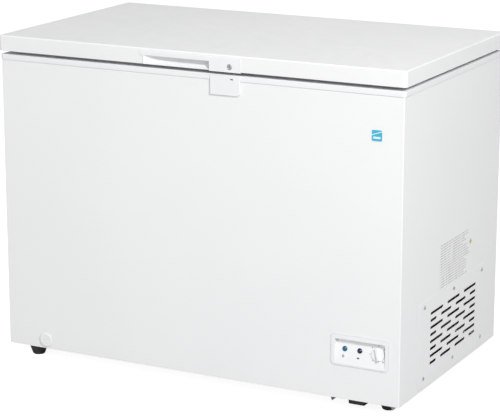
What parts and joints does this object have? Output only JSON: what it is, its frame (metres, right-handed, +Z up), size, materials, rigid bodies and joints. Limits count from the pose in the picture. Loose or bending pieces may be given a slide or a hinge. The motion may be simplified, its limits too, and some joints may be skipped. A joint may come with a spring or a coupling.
{
  "type": "chest freezer",
  "caption": "White chest freezer with a rear-hinged lid, locking handle, front control panel, slotted compressor cover, hanging wire basket and feet.",
  "frame": {"origin": "centre of the whole freezer's footprint on the floor, halfway between the handle's front face and the back of the hinges, and midway across the lid", "axes": "+Z up; the front with the control panel faces -Y; +X to the right for someone facing the front, towards the compressor end"},
  "size_m": [1.116, 0.659, 0.84],
  "materials": {
    "white_paint": "satin",
    "white_plastic": "satin",
    "liner_white": "satin",
    "galvanised": "satin",
    "foam": "matte",
    "gasket_grey": "matte",
    "black_rubber": "matte",
    "black_paint": "satin",
    "copper": "satin",
    "steel": "satin",
    "basket_coat": "satin",
    "lamp_teal": "gloss",
    "lamp_navy": "gloss",
    "label_blue": "satin",
    "label_white": "matte"
  },
  "bodies": {
    "cabinet": {"outer_wrap": "white_paint", "back_panel": "galvanised", "base_panel": "galvanised", "compressor_tray": "galvanised", "compressor_bulkhead": "galvanised", "foam_body": "foam", "inner_liner": "liner_white", "top_rim": "white_plastic", "foot_front_left": "black_rubber", "foot_rear_left": "black_rubber", "foot_front_right": "black_rubber", "foot_rear_right": "black_rubber", "tray_buffer": "black_rubber", "vent_cover": "white_paint", "vent_screw_1": "steel", "vent_screw_2": "steel", "vent_screw_3": "steel", "vent_screw_4": "steel", "vent_screw_5": "steel", "vent_screw_6": "steel", "compressor": "black_paint", "compressor_mount_1": "black_rubber", "compressor_mount_2": "black_rubber", "compressor_mount_3": "black_rubber", "compressor_mount_4": "black_rubber", "compressor_relay": "black_rubber", "suction_tube": "copper", "discharge_tube": "black_paint", "filter_drier": "copper", "evaporator_coil": "copper", "condenser_coil": "copper", "cord_gland": "black_rubber", "drain_tube": "white_plastic", "control_bezel": "white_plastic", "power_lamp": "lamp_teal", "run_lamp": "lamp_navy", "thermostat_body": "black_rubber", "data_label": "label_white", "blue_sticker": "label_blue", "strike_plate": "white_plastic", "hinge_base_left": "galvanised", "hinge_base_right": "galvanised", "hinge_pin_left": "steel", "hinge_pin_right": "steel", "hinge_spring_left": "steel", "hinge_spring_right": "steel"},
    "lid": {"lid_skin": "white_paint", "lid_liner": "liner_white", "lid_foam": "foam", "lid_gasket": "gasket_grey", "handle_insert": "white_plastic", "hinge_arm_left": "galvanised", "hinge_arm_right": "galvanised"},
    "lock": {"lock_barrel": "steel", "lock_cam": "steel"},
    "thermostat_knob": {"thermostat_knob": "white_plastic"},
    "drain_cap": {"drain_cap": "white_plastic"},
    "drain_plug": {"drain_plug": "gasket_grey"},
    "basket": {"wire_basket": "basket_coat"}
  },
  "joints": [
    {"name": "lid_hinge", "type": "hinge", "parent": "cabinet", "child": "lid", "pos_m": [0, 0.321, 0.797], "axis": [-1, 0, 0], "range_deg": [0, 80]},
    {"name": "lock_turn", "type": "hinge", "parent": "lid", "child": "lock", "pos_m": [0.102, -0.32, 0.812], "axis": [0, -1, 0], "range_deg": [0, 90]},
    {"name": "thermostat_turn", "type": "hinge", "parent": "cabinet", "child": "thermostat_knob", "pos_m": [0.4945, -0.31839, 0.1514], "axis": [0, 0.9841, -0.1775], "range_deg": [0, 280]},
    {"name": "drain_cap_pull", "type": "slide", "parent": "cabinet", "child": "drain_cap", "axis": [0, -1, 0], "range_m": [0, 0.02]},
    {"name": "drain_plug_pull", "type": "slide", "parent": "cabinet", "child": "drain_plug", "axis": [0, 0, 1], "range_m": [0, 0.03]},
    {"name": "basket_slide", "type": "slide", "parent": "cabinet", "child": "basket", "axis": [-1, 0, 0], "range_m": [0, 0.76]}
  ]
}
